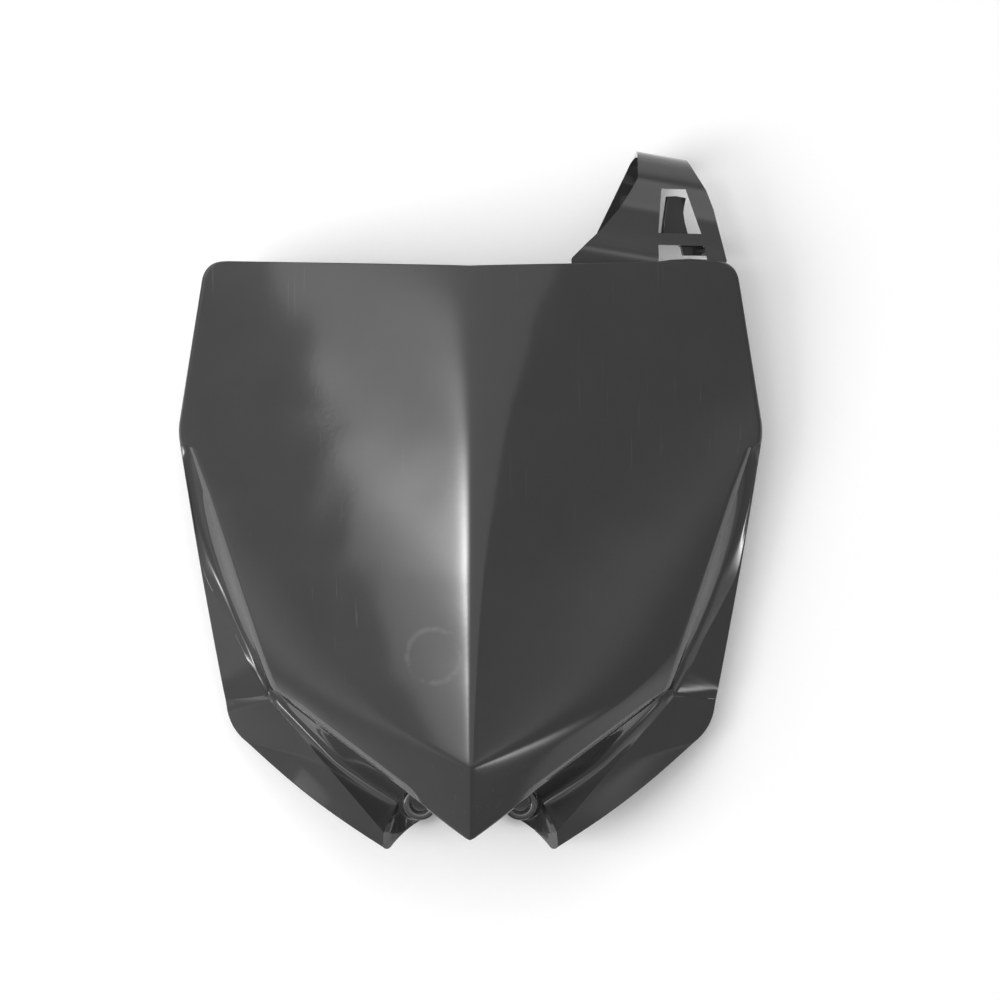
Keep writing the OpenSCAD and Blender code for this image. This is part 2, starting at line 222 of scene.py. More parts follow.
def roll_y(i):
    return mix(0.6, 1.7, roll_k(i))


def edge_y(i):
    e = edge_pt(i)
    return shield_y(e[0], e[1]) + roll_y(i)


APEX_Y = shield_y(APEX[0], APEX[1])
TUSK_Y = PEG_Y + 2


def gill_k(i):
    """Share of the step's full depth along the gill."""
    t = (i - I_GILL) / N_GILL
    return ease(t / 0.55) if t < 0.55 else ease(max(0, (1 - t) / 0.45))


def crest_y(i):
    if i <= I_APEX:
        return edge_y(i) + 0.75 * STEP_D * gill_k(i) + 0.3 * (crest_pt(i)[0] - edge_pt(i)[0])
    return mix(APEX_Y + 1, TUSK_Y, (i - I_APEX) / N_TUSK)


def vale_y(i):
    if i <= I_APEX:
        return edge_y(i) + STEP_D * gill_k(i) + 0.3 * (vale_pt(i)[0] - edge_pt(i)[0])
    t = (i - I_APEX) / N_TUSK
    return max(crest_y(i) + VALLEY_D * t * t, edge_y(i) + 0.4)


def outline_y(i):
    far = norm(outline_pt(i) - crest_pt(i))
    return crest_y(i) + 0.6 * far * mix(1, 0.55, clamp((i - I_APEX) / N_TUSK, 0, 1)) + 0.5


def roll_span(i):
    """Width of the roll along its row; on the low edge it is 2.3 mm square to the edge."""
    row, along = edge_pt(i) - v2(0, ridge_z(i)), APEX - NICK
    sine = abs(row[0] * along[1] - row[1] * along[0]) / (norm(row) * norm(along))
    return mix(roll_w(i), 2.3 / sine, clamp(i - I_APEX, 0, 1) * roll_k(i))


def shield_row(i, us):
    """Points of one row, from the ridge to the shield's rolled edge."""
    e = edge_pt(i)
    c = v2(0, ridge_z(i))
    full, span = norm(e - c), roll_span(i)
    out = []
    for u in us:
        p = mix(c, e, u)
        rolled = max(0.0, 1 - (1 - u) * full / span)
        out.append((p[0], shield_y(p[0], p[1]) + roll_y(i) * rolled**1.3, p[1]))
    return out


# Rounding of the crests, either way along the row.
CREST_R = 0.05


def wing_depth(i, t):
    """Depth of the wing at t, before its crest is rounded."""
    if t <= 1:
        return mix(edge_y(i), vale_y(i), math.sin(math.pi / 2 * t))
    if t <= 2:
        return mix(vale_y(i), crest_y(i), 1 - math.cos(math.pi / 2 * (t - 1)))
    return mix(crest_y(i), outline_y(i) - 0.5, t - 2)


def wing_pt(i, t):
    """A point of the wing at t from 0, the shield's edge, to 3, the outline."""
    e, v, c, q = edge_pt(i), vale_pt(i), crest_pt(i), outline_pt(i)
    p = mix(e, v, t) if t <= 1 else mix(v, c, t - 1) if t <= 2 else mix(c, q, t - 2)
    if t < 1.3:
        return np.array((p[0], wing_depth(i, t), p[1]))
    inner, outer = max(norm(c - v), 0.5), max(norm(q - c), 0.5)
    fade = CREST_R * clamp((t - 1.3) / 0.3, 0, 1)
    y = 0.0
    for k in range(-3, 4):
        d = (t - 2) * (inner if t < 2 else outer) + fade * k / 3
        y += wing_depth(i, clamp(2 + d / (inner if d < 0 else outer), 1, 3)) / 7
    return np.array((p[0], y, p[1]))


# The notch's return walls end behind the tusk along a curve through these points.
ARC_A, ARC_B = v2(PEG_X - 3.9, PEG_Z - 6.5), v2(25.5, 7.6)


def wall_pt(m, t):
    """A point of the notch's return wall: m from 0 to 1 backwards, t as on the wing."""
    k = t / 3
    f = wing_pt(I_NICK, t)
    b = mix(mix(ARC_A, ARC_B, k), mix(ARC_B, TIP_IN, k), k)
    back = np.array((b[0], mix(PEG_Y + 12, TUSK_Y + 7, k), b[1]))
    far = 1 - k
    out = 2 * m * (1 - m) * far * far
    bulge = (7.6 * out, 2.5 * math.sin(math.pi * m) * far, -7.6 * out)
    return mix(f, back, m) + bulge - np.array((0, 0, 5.6 * m * (1 - m) * k ** 6))


# Places of rows and columns, closer together where the form turns.
def spaced(*stops):
    """Values from pairs of (end, number of steps), starting with the first value."""
    out = [stops[0]]
    for end, n in stops[1:]:
        a = out[-1]
        out += [a + (end - a) * (k + 1) / n for k in range(n)]
    return out


TOP_ROWS = spaced(0, (N_CORNER, 12), (N_CORNER + N_SIDE, 18), (I_GILL, 12))
GILL_ROWS = spaced(I_GILL, (I_GILL + 1, 4), (I_APEX - 1, 34), (I_APEX, 6))[1:]
TUSK_ROWS = spaced(I_APEX, (I_APEX + 1, 5), (I_NICK - 1, 34), (I_NICK, 6))[1:]
NOSE_ROWS = spaced(I_NICK, (I_TIP - 1, 14), (I_TIP, 6))[1:]
WALL_ROWS = spaced(0, (1, 14))[1:]
ROWS = TOP_ROWS + GILL_ROWS + TUSK_ROWS + NOSE_ROWS
R_GILL = len(TOP_ROWS) - 1
R_NICK = R_GILL + len(GILL_ROWS) + len(TUSK_ROWS)
R_TIP = len(ROWS) - 1
US = (
    [0, 0.0015, 0.004, 0.008, 0.013, 0.02, 0.03, 0.042, 0.056, 0.073]
    + spaced(0.095, (0.84, 30))
    + [1 - 0.16 * (1 - k / 18) ** 3 for k in range(1, 19)]
)
TS = (
    [0, 0.06, 0.13, 0.22, 0.33, 0.46, 0.6, 0.75, 0.88, 1.0, 1.12, 1.27, 1.42, 1.56]
    + [1.68, 1.79, 1.88, 1.95, 2.0, 2.03, 2.07, 2.13]
    + spaced(2.2, (2.9, 12))
    + [2.95, 3.0]
)
N_S, N_T = len(US) - 1, len(TS) - 1


def shell_mesh():
    """Outer face as a table of points, with the right half's rows and columns."""
    grid = {}
    for r, i in enumerate(ROWS):
        for j, p in enumerate(shield_row(i, US)):
            grid[r, j] = np.array(p)
        if R_GILL < r <= R_NICK:
            for k, t in enumerate(TS):
                if k:
                    grid[r, N_S + k] = wing_pt(i, t)
    for m, w in enumerate(WALL_ROWS):
        for k, t in enumerate(TS):
            grid["w%d" % m, N_S + k] = wall_pt(w, t)
    return grid


def key_for(r, c):
    """The grid key of a row and column: above the gill all wing columns are the edge."""
    if not isinstance(r, str) and r <= R_GILL:
        return r, min(c, N_S)
    return r, c


def quads():
    """Cells of the right half as four grid keys each, clockwise seen from the front."""
    out = []
    for r in range(R_TIP):
        for c in range(N_S):
            out.append(((r, c), (r + 1, c), (r + 1, c + 1), (r, c + 1)))
    wing = list(range(R_GILL, R_NICK + 1)) + ["w%d" % m for m in range(len(WALL_ROWS))]
    for a, b in zip(wing, wing[1:]):
        for c in range(N_S, N_S + N_T):
            cell = (key_for(a, c), key_for(b, c), key_for(b, c + 1), key_for(a, c + 1))
            out.append(tuple(dict.fromkeys(cell)))
    return [q for q in out if len(q) > 2]


def number_faces(grid, cells):
    """Both halves as point table and faces of the outer side."""
    keys = list(grid)
    number = {}
    pts = []
    for s in (1, -1):
        for k in keys:
            p = grid[k]
            if s < 0 and abs(p[0]) < 1e-9:
                number[s, k] = number[1, k]
                continue
            number[s, k] = len(pts)
            pts.append((s * p[0], p[1], p[2]))
    faces = []
    for cell in cells:
        faces.append([number[1, k] for k in cell])
        faces.append([number[-1, k] for k in reversed(cell)])
    return np.array(pts), faces


# Edges that turn more than these angles are shaded sharp.
STRAP_SHARP, SHELL_SHARP = math.radians(38), math.radians(31)


def solid_from_sheet(name, pts, faces, thick, radius):
    """Closed mesh from a sheet: back face thick behind it, rim, rounded edges."""
    bm = bmesh.new()
    front = [bm.verts.new(p) for p in pts]
    back = [bm.verts.new(p) for p in pts + thick]
    for f in faces:
        bm.faces.new([front[k] for k in f])
        bm.faces.new([back[k] for k in reversed(f)])
    used = {}
    for f in faces:
        for a, b in zip(f, f[1:] + f[:1]):
            used[a, b] = True
    rim = []
    for a, b in used:
        if (b, a) not in used:
            bm.faces.new((front[b], front[a], back[a], back[b]))
            rim.append((front[a], front[b]))
            rim.append((back[a], back[b]))
    loose = [v for v in bm.verts if not v.link_edges]
    bmesh.ops.delete(bm, geom=loose, context="VERTS")
    if radius:
        edges = [e for e in (bm.edges.get(p) for p in rim) if e]
        bmesh.ops.bevel(
            bm, geom=edges, offset=radius, segments=3, profile=0.5,
            affect="EDGES", clamp_overlap=True, offset_type="OFFSET",
        )
    bmesh.ops.recalc_face_normals(bm, faces=bm.faces)
    me = bpy.data.meshes.new(name)
    bm.to_mesh(me)
    bm.free()
    for p in me.polygons:
        p.use_smooth = True
    if not radius:
        me.set_sharp_from_angle(angle=STRAP_SHARP)
    ob = bpy.data.objects.new(name, me)
    bpy.context.scene.collection.objects.link(ob)
    return ob


def to_row(pts):
    """From the drawing's frame, with the nose tip below the origin, to the row's."""
    return (np.asarray(pts, float) - np.array((0, PEG_Y, PEG_Z))) * MM


def point_normals(pts, faces):
    """Unit normal of each point, from the faces around it."""
    out = np.zeros_like(pts)
    for f in faces:
        p = pts[f]
        n = np.zeros(3)
        for k in range(1, len(f) - 1):
            n += np.cross(p[k] - p[0], p[k + 1] - p[0])
        out[f] += n
    size = np.linalg.norm(out, axis=1)
    size[size == 0] = 1
    return out / size[:, None]


RIM_R = 0.55
STEEPEST = 1.7


def make_shell():
    """The shell as one sheet, thicker along Y where its face is steep."""
    grid = shell_mesh()
    pts, faces = number_faces(grid, quads())
    normals = point_normals(pts, faces)
    steep = 1 / np.clip(np.abs(normals[:, 1]), 1 / STEEPEST, 1)
    back = np.zeros_like(pts)
    back[:, 1] = WALL * np.clip(steep, 1.02, STEEPEST)
    ob = solid_from_sheet("shield_shell", to_row(pts), faces, back * MM, RIM_R * MM)
    ob.data.set_sharp_from_angle(angle=SHELL_SHARP)
    return ob


shell = make_shell()


# The strap: a band along a path of [depth, height] behind the board's top edge.
ROOT_A = shield_y(STRAP_X - 24, BOARD_H - 8)
ROOT_B = shield_y(STRAP_X + 24, BOARD_H - 8)
STRAP_Y = shield_y(STRAP_X, BOARD_H) + WALL
TURN = math.atan((ROOT_B - ROOT_A) / 48)
TILT = math.radians(8)
ARC_R = LOOP_D / 2 - 4.2
ARC_C = v2(LOOP_D / 2 + 1.6, STRAP_H - STRAP_T / 2 - ARC_R)
COS_T, SIN_T, COS_L, SIN_L = math.cos(TURN), math.sin(TURN), math.cos(TILT), math.sin(TILT)


def root_d(h):
    """Depth of the strap's root at a height over the board's top edge."""
    return 1.0 + shield_y(STRAP_X, BOARD_H + h) - shield_y(STRAP_X, BOARD_H)


def fan(centre, r, a0, a1, step):
    """Points of an arc from angle a0 to a1, in degrees."""
    n = max(2, round(abs(a1 - a0) / step))
    angles = np.radians(np.linspace(a0, a1, n + 1))
    return [centre + r * v2(math.cos(a), math.sin(a)) for a in angles]


def resample(line, step):
    """A line of points made smooth and even, with its length at each point."""
    line = np.array(line)
    for _ in range(2):
        at = np.concatenate(([0], np.cumsum(np.linalg.norm(np.diff(line, axis=0), axis=1))))
        s = np.linspace(0, at[-1], int(at[-1] / step) + 1)
        line = np.column_stack([np.interp(s, at, line[:, k]) for k in range(line.shape[1])])
        kept = line.copy()
        for _ in range(14):
            line[1:-1] = (line[:-2] + 2 * line[1:-1] + line[2:]) / 4
        line[0], line[-1] = kept[0], kept[-1]
    at = np.concatenate(([0], np.cumsum(np.linalg.norm(np.diff(line, axis=0), axis=1))))
    return line, at


PATH, PATH_AT = resample(
    [v2(root_d(-22), -22), v2(root_d(-11), -11), v2(root_d(0), 0), v2(3, 9), v2(5, 20)]
    + fan(ARC_C, ARC_R, 172, 4, 6)
    + [v2(ARC_C[0] + ARC_R, 18)]
    + fan(v2(ARC_C[0] + ARC_R - 9, 14), 9, 0, -90, 8)
    + [v2(2.4, 4)],
    0.4,
)


def path_pt(s):
    """Point and normal of the strap's path at a length along it."""
    s = clamp(s, 0, PATH_AT[-1])
    p = v2(np.interp(s, PATH_AT, PATH[:, 0]), np.interp(s, PATH_AT, PATH[:, 1]))
    a, b = max(0, s - 0.5), min(PATH_AT[-1], s + 0.5)
    q = v2(np.interp(a, PATH_AT, PATH[:, 0]), np.interp(a, PATH_AT, PATH[:, 1]))
    r = v2(np.interp(b, PATH_AT, PATH[:, 0]), np.interp(b, PATH_AT, PATH[:, 1]))
    d = (r - q) / norm(r - q)
    return p, v2(-d[1], d[0])


def strap_world(u, d, w):
    """From the strap's own frame, tilted and turned, to the drawing's."""
    a = u * COS_L + w * SIN_L
    h = -u * SIN_L + w * COS_L
    return np.array(
        (STRAP_X + a * COS_T - d * SIN_T, STRAP_Y + a * SIN_T + d * COS_T, BOARD_H + h)
    )


# Outlines of the legs and windows, as [across, height] from the strap's middle.
TOP_L, TOP_R = -STRAP_W / 2, STRAP_W / 2 - 0.6
FRONT_L = [(-36, -24), (-38.3, 0), (-31.4, 7), (-25.2, 13), (-17.6, 22), (-12.5, 30),
           (-9.9, 35), (TOP_L, 40), (TOP_L, 60)]
FRONT_R = [(TOP_R + 12, -24), (TOP_R + 16, -3), (TOP_R + 18.6, 0), (TOP_R + 13, 22),
           (TOP_R + 9.9, 30), (TOP_R + 5.2, 37.5), (TOP_R + 1.5, 44), (TOP_R + 0.5, 60)]
BACK_L = [(-29.5, -4), (-26.8, 12.7), (-4, 60)]
BACK_R = [(-2, -4), (-1.5, 30), (TOP_R - 4, 35), (TOP_R + 0.4, 42), (TOP_R + 0.4, 60)]
W0 = -1.3
W1 = W0 + WINDOW_W
WIN_L = [(W0, -24), (W0, 12), (W0 + 1.3, 30.4), (W0 + 1.3, 60)]
WIN_R = [(W1 + 3, -24), (W1 + 2.6, -1.4), (W1 + 1.2, 6.1), (W1, 11.2), (W0 + 11.7, 30.4),
         (W0 + 11.7, 60)]


def bound(line, h):
    """Place of an outline across the strap at a height."""
    return float(np.interp(h, [p[1] for p in line], [p[0] for p in line]))


FRONT_N = int(np.argmax(PATH[:, 1]))


def on_front(dx, h, off):
    """Path length and place across, u, of an outline point on the front leg's face."""
    d, up = 3.0, 0.0
    for _ in range(10):
        a = (dx + d * SIN_T) / COS_T
        u, w = a * COS_L - h * SIN_L, a * SIN_L + h * COS_L
        s = float(np.interp(w - up, PATH[:FRONT_N, 1], PATH_AT[:FRONT_N]))
        p, n = path_pt(s)
        d, up = p[0] + n[0] * off, n[1] * off
    return s, u


def across(line, s_of_u, u, off):
    """The u at which a row of the band's face, off the middle, meets an outline."""
    for _ in range(24):
        p, n = path_pt(s_of_u(u))
        p = p + n * off
        h = -u * SIN_L + p[1] * COS_L
        a = (bound(line, h) + p[0] * SIN_T) / COS_T
        u = 0.5 * u + 0.5 * (a - p[1] * SIN_L) / COS_L
    return u


def strap_face(off):
    """Points of one face of the band, off the middle, with rows and open rows."""
    heights = spaced(-22, (-1.4, 8), (6.5, 9), (11.6, 5), (30.4, 20), (34, 3))
    a_cols, b_cols, c_cols = 14, 10, 6
    rows, holes = [], set()
    for r, h in enumerate(heights):
        stops = [bound(FRONT_L, h), bound(WIN_L, h), bound(WIN_R, h), bound(FRONT_R, h)]
        xs = spaced(stops[0], (stops[1], a_cols), (stops[2], b_cols), (stops[3], c_cols))
        rows.append([on_front(x, h, off) for x in xs])
        if r and (-1.4 < h <= 6.51 or 11.6 < h <= 30.41):
            holes.add(r - 1)
    last = rows[-1]
    share = [(c[1] - last[0][1]) / (last[-1][1] - last[0][1]) for c in last]
    mid = last[0][0] - last[0][1] * math.tan(TILT)
    stops = np.linspace(mid, PATH_AT[-1] - 0.01, 110)[1:]
    for s0 in stops:
        t = clamp((s0 - mid) / 26, 0, 1)
        lean_in = math.tan(TILT) * (1 - ease(t))

        def s_of_u(u):
            return s0 + u * lean_in

        k = ease(clamp((s0 - mid - 12) / 14, 0, 1))
        ul = mix(across(FRONT_L, s_of_u, -9, off), across(BACK_L, s_of_u, -9, off), k)
        ur = mix(across(FRONT_R, s_of_u, 9, off), across(BACK_R, s_of_u, 9, off), k)
        rows.append([(s_of_u(mix(ul, ur, f)), mix(ul, ur, f)) for f in share])
    pts = []
    for row in rows:
        for s, u in row:
            p, n = path_pt(s)
            p = p + n * off
            pts.append(strap_world(u, p[0], p[1]))
    n, gap = len(share), range(a_cols, a_cols + b_cols)
    faces = []
    for r in range(len(rows) - 1):
        for c in range(n - 1):
            if r not in holes or c not in gap:
                k = r * n + c
                faces.append([k, k + n, k + n + 1, k + 1])
    return np.array(pts), faces


def make_strap():
    front, faces = strap_face(STRAP_T / 2)
    back, _faces = strap_face(-STRAP_T / 2)
    return solid_from_sheet("strap", to_row(front), faces, (back - front) * MM, 0)


strap = make_strap()


def plate(name, outline, hole_list, thick, bevel):
    """Flat plate in the plane of X and Z with rounded edges, centred on y = 0."""
    cu = bpy.data.curves.new(name, "CURVE")
    cu.dimensions = "2D"
    cu.fill_mode = "BOTH"
    cu.extrude = thick / 2 - bevel
    cu.bevel_depth = bevel
    cu.bevel_resolution = 3
    for line in [outline, *hole_list]:
        sp = cu.splines.new("POLY")
        sp.points.add(len(line) - 1)
        for p, q in zip(sp.points, line):
            p.co = (q[0], q[1], 0, 1)
        sp.use_cyclic_u = True
    tmp = bpy.data.objects.new(name + "_curve", cu)
    bpy.context.scene.collection.objects.link(tmp)
    dg = bpy.context.evaluated_depsgraph_get()
    me = bpy.data.meshes.new_from_object(tmp.evaluated_get(dg))
    me.name = name
    bpy.data.objects.remove(tmp)
    bpy.data.curves.remove(cu)
    for v in me.vertices:
        v.co = Vector((v.co.x, -v.co.z, v.co.y))
    for p in me.polygons:
        p.use_smooth = True
    ob = bpy.data.objects.new(name, me)
    bpy.context.scene.collection.objects.link(ob)
    return ob


def circle(x, z, r, n=64):
    """Points of a circle in the plane of X and Z."""
    return [(x + r * math.cos(a), z + r * math.sin(a))
            for a in np.linspace(0, 2 * math.pi, n, endpoint=False)]


def shift(ob, fn):
    """Move each vertex of an object by a function of its place."""
    for v in ob.data.vertices:
        v.co = Vector(fn(np.array(v.co)))


def make_bridge():
    """Plate behind the nose, with the two peg holes."""
    half = [(8, PEG_Z - 1), (PEG_X - 3, PEG_Z - 5), (PEG_X + 5, PEG_Z - 5.4),
            (PEG_X + 6.5, PEG_Z + 3), (PEG_X + 6, PEG_Z + 9)]
    outline = half + [(-x, z) for x, z in reversed(half)]
    holes = [circle(s * PEG_X, PEG_Z, PEG_D / 2) for s in (1, -1)]
    ob = plate("bridge", outline, holes, BRIDGE_T, 0.35)
    shift(ob, lambda p: to_row(p + np.array((0, PEG_Y, 0))))
    return ob


def lathe(name, profile, n=96):
    """Ring about the Y axis from a closed profile of [radius, y]."""
    bm = bmesh.new()
    rings = []
    for k in range(n):
        a = 2 * math.pi * k / n
        rings.append([bm.verts.new((r * math.cos(a), y, r * math.sin(a))) for r, y in profile])
    for k in range(n):
        a, b = rings[k], rings[(k + 1) % n]
        for j in range(len(profile)):
            i = (j + 1) % len(profile)
            bm.faces.new((a[j], a[i], b[i], b[j]))
    bmesh.ops.recalc_face_normals(bm, faces=bm.faces)
    me = bpy.data.meshes.new(name)
    bm.to_mesh(me)
    bm.free()
    for p in me.polygons:
        p.use_smooth = True
    ob = bpy.data.objects.new(name, me)
    bpy.context.scene.collection.objects.link(ob)
    return ob


def rounded_box(r0, r1, y0, y1, r, n=4):
    """Profile of a ring from radius r0 to r1 with its corners rounded by r."""
    out = []
    for cx, cy, a0 in ((r1 - r, y1 - r, 0), (r0 + r, y1 - r, 90), (r0 + r, y0 + r, 180),
                       (r1 - r, y0 + r, 270)):
        for k in range(n + 1):
            a = math.radians(a0 + 90 * k / n)
            out.append((cx + r * math.cos(a), cy + r * math.sin(a)))
    return out


def make_collar(side):
    """Ring round a peg hole, on the front of the bridge."""
    y1 = PEG_Y + BRIDGE_T / 2
    ob = lathe(
        "peg_collar_%s" % ("right" if side > 0 else "left"),
        rounded_box(PEG_D / 2, COLLAR_R, y1 - BRIDGE_T - COLLAR_H, y1 - 0.1, 0.9, 8),
    )
    shift(ob, lambda p: to_row(p + np.array((side * PEG_X, 0, PEG_Z))))
    return ob


def turned(p):
    """From the strap's own plane, without its tilt, to the drawing's frame."""
    a, d, h = p
    return np.array((STRAP_X + a * COS_T - d * SIN_T, STRAP_Y + a * SIN_T + d * COS_T,
                     BOARD_H + h))


def make_slab(name, outline, d0, d1):
    """Plate parallel to the strap's front leg, from d0 to d1 behind the board."""
    mid = (d0 + d1) / 2
    flat = [((x + mid * SIN_T) / COS_T, z) for x, z in outline]
    ob = plate(name, flat, [], d1 - d0, 0.3)
    shift(ob, lambda p: to_row(turned((p[0], p[1] + mid, p[2]))))
    return ob


bridge = make_bridge()
collars = [make_collar(s) for s in (1, -1)]
tongue = make_slab(
    "strap_hook",
    [(2.7, 27.2), (6, 27.4), (10, 26.8), (9.2, 23), (9, 20.6), (9.6, 16.5), (10.9, 11.9),
     (17.7, 6.4), (22.5, 6.4), (22.5, 3), (9.6, 3), (8.8, 6.4), (0.5, 11)],
    8.4, 11,
)
foot = make_slab("hook_foot", [(18.2, 3.2), (18.2, 6.2), (22.2, 6.2), (22.2, 3.2)], 2, 10)
ledge = make_slab(
    "strap_ledge",
    [(-4, -4), (-4, -1), (3, 0.1), (11, 0.6), (18, 0.3), (22, -1), (22, -4)], 0, 8,
)

parts = [shell, strap, bridge, *collars, tongue, foot, ledge]
for ob in parts:
    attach(ob, "root")
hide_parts("number_board")


# Glossy black plastic: colours, roughness and the faint ring mark, in metres.
DARK_BLACK, LIGHT_BLACK = (0.036, 0.036, 0.0375, 1), (0.046, 0.046, 0.048, 1)
WORN_GREY, RING_GREY = (0.13, 0.13, 0.13, 1), (0.10, 0.10, 0.10, 1)
SMOOTHEST, ROUGHEST, COAT, COAT_ROUGH = 0.05, 0.085, 0.55, 0.045
RING_X, RING_Z, RING_R, RING_HALF = -0.0150, 0.0625, 0.0112, 0.0019


class Nodes:
    """Short names for adding and joining shader nodes."""

    def __init__(self, owner):
        owner.use_nodes = True
        self.owner = owner
        self.tree = owner.node_tree
        self.tree.nodes.clear()

    def add(self, kind, inputs=(), **props):
        n = self.tree.nodes.new("ShaderNode" + kind)
        for k, v in props.items():
            setattr(n, k, v)
        for k, v in dict(inputs).items():
            if isinstance(v, bpy.types.NodeSocket):
                self.tree.links.new(v, n.inputs[k])
            else:
                n.inputs[k].default_value = v
        return n

    def math(self, op, a, b=0.0, c=0.0):
        return self.add("Math", {0: a, 1: b, 2: c}, operation=op).outputs[0]

    def mix(self, t, a, b):
        return self.add("Mix", {0: t, 2: a, 3: b}, data_type="FLOAT").outputs[0]

    def ramp(self, v, a, b, to_a=0.0, to_b=1.0):
        n = self.add("MapRange", {0: v, 1: a, 2: b, 3: to_a, 4: to_b},
                     interpolation_type="SMOOTHSTEP")
        return n.outputs[0]

    def noise(self, co, scale, detail=2.0, rough=0.5):
        n = self.add("TexNoise", {"Vector": co, "Scale": scale, "Detail": detail,
                                  "Roughness": rough})
        return n.outputs["Fac"]

    def out(self, shader):
        self.add("OutputMaterial", {"Surface": shader})
        return self.owner


def ring_mask(n, x, z):
    """1 on the thin ring mark, 0 elsewhere."""
    dx = n.math("SUBTRACT", x, RING_X)
    dz = n.math("SUBTRACT", z, RING_Z)
    r = n.math("SQRT", n.math("ADD", n.math("MULTIPLY", dx, dx), n.math("MULTIPLY", dz, dz)))
    off = n.math("ABSOLUTE", n.math("SUBTRACT", r, RING_R))
    return n.ramp(off, RING_HALF, 0.0)


def scratches(n, co, angle, scale, low, high):
    """Thin broken streaks: noise drawn out along one direction."""
    turned_co = n.add("Mapping", {"Vector": co, "Rotation": (0, angle, 0),
                                  "Scale": (scale, scale, scale * 0.025)})
    lines = n.noise(turned_co.outputs[0], 1.0, 1.0)
    return n.ramp(lines, low, high)


def make_plastic(name, marks):
    """Clouded, finely scratched plastic under a gloss, with the ring mark if asked."""
    n = Nodes(bpy.data.materials.new(name))
    tex = n.add("TexCoord")
    co = tex.outputs["Object"]
    xyz = n.add("SeparateXYZ", {0: co})
    x, z = xyz.outputs[0], xyz.outputs[2]
    cloud = n.noise(co, 38.0, 4.0, 0.6)
    fine = n.noise(co, 900.0, 2.0)
    peel = n.noise(co, 420.0, 2.0)
    wave = n.noise(co, 22.0, 1.0)
    fine_a = scratches(n, co, 0.45, 900.0, 0.70, 0.80)
    fine_b = scratches(n, co, -0.9, 760.0, 0.71, 0.80)
    patch_mask = n.ramp(n.noise(co, 16.0, 2.0), 0.45, 0.62)
    rub = n.math("MULTIPLY", n.math("MAXIMUM", fine_a, fine_b), patch_mask)
    color = n.add("Mix", {0: cloud, 6: DARK_BLACK, 7: LIGHT_BLACK}, data_type="RGBA")
    worn = n.add("Mix", {0: n.math("MULTIPLY", rub, 0.16), 6: color.outputs[2],
                         7: WORN_GREY}, data_type="RGBA")
    final = worn.outputs[2]
    rough = n.math("ADD", n.mix(cloud, SMOOTHEST, ROUGHEST), n.math("MULTIPLY", rub, 0.12))
    height = n.math("ADD", n.math("MULTIPLY", peel, 0.5), n.math("MULTIPLY", fine, 0.12))
    height = n.math("ADD", height, n.math("MULTIPLY", rub, -0.12))
    if marks:
        front = n.ramp(n.add("SeparateXYZ", {0: tex.outputs["Normal"]}).outputs[1], -0.2, -0.5)
        blot = n.ramp(n.noise(co, 150.0, 3.0), 0.38, 0.62)
        ring = n.math("MULTIPLY", ring_mask(n, x, z), front)
        ring = n.math("MULTIPLY", ring, blot)
        final = n.add("Mix", {0: n.math("MULTIPLY", ring, 0.6), 6: final,
                              7: RING_GREY}, data_type="RGBA").outputs[2]
        rough = n.math("ADD", rough, n.math("MULTIPLY", ring, 0.10))
    bump = n.add("Bump", {"Strength": 0.05, "Distance": 0.00012, "Height": height})
    broad = n.add("Bump", {"Strength": 0.35, "Distance": 0.0006, "Height": wave,
                           "Normal": bump.outputs[0]})
    shader = n.add("BsdfPrincipled", {
        "Base Color": final, "Roughness": rough, "Normal": broad.outputs[0],
        "Specular IOR Level": 0.5, "Coat Weight": COAT, "Coat Roughness": COAT_ROUGH,
        "Coat IOR": 1.5, "Coat Normal": broad.outputs[0],
    })
    return n.out(shader.outputs[0])


board_black = make_plastic("board_black", True)
inner_black = make_plastic("inner_black", False)
for ob in parts:
    ob.data.materials.clear()
    ob.data.materials.append(board_black if ob is shell else inner_black)


# Table behind the board: white to the camera, with the board's soft shadow on it, and a painted
# shadow close behind the peg holes.
VIEW_X, VIEW_Z, PLANE_Y, FRAME_M = 0.0125, 0.1272, 0.017, 0.424
TABLE_Y, TABLE_HALF = 0.0385, 1.6
TABLE_WHITE, TABLE_GLOW = (0.92, 0.92, 0.92, 1), 0.13


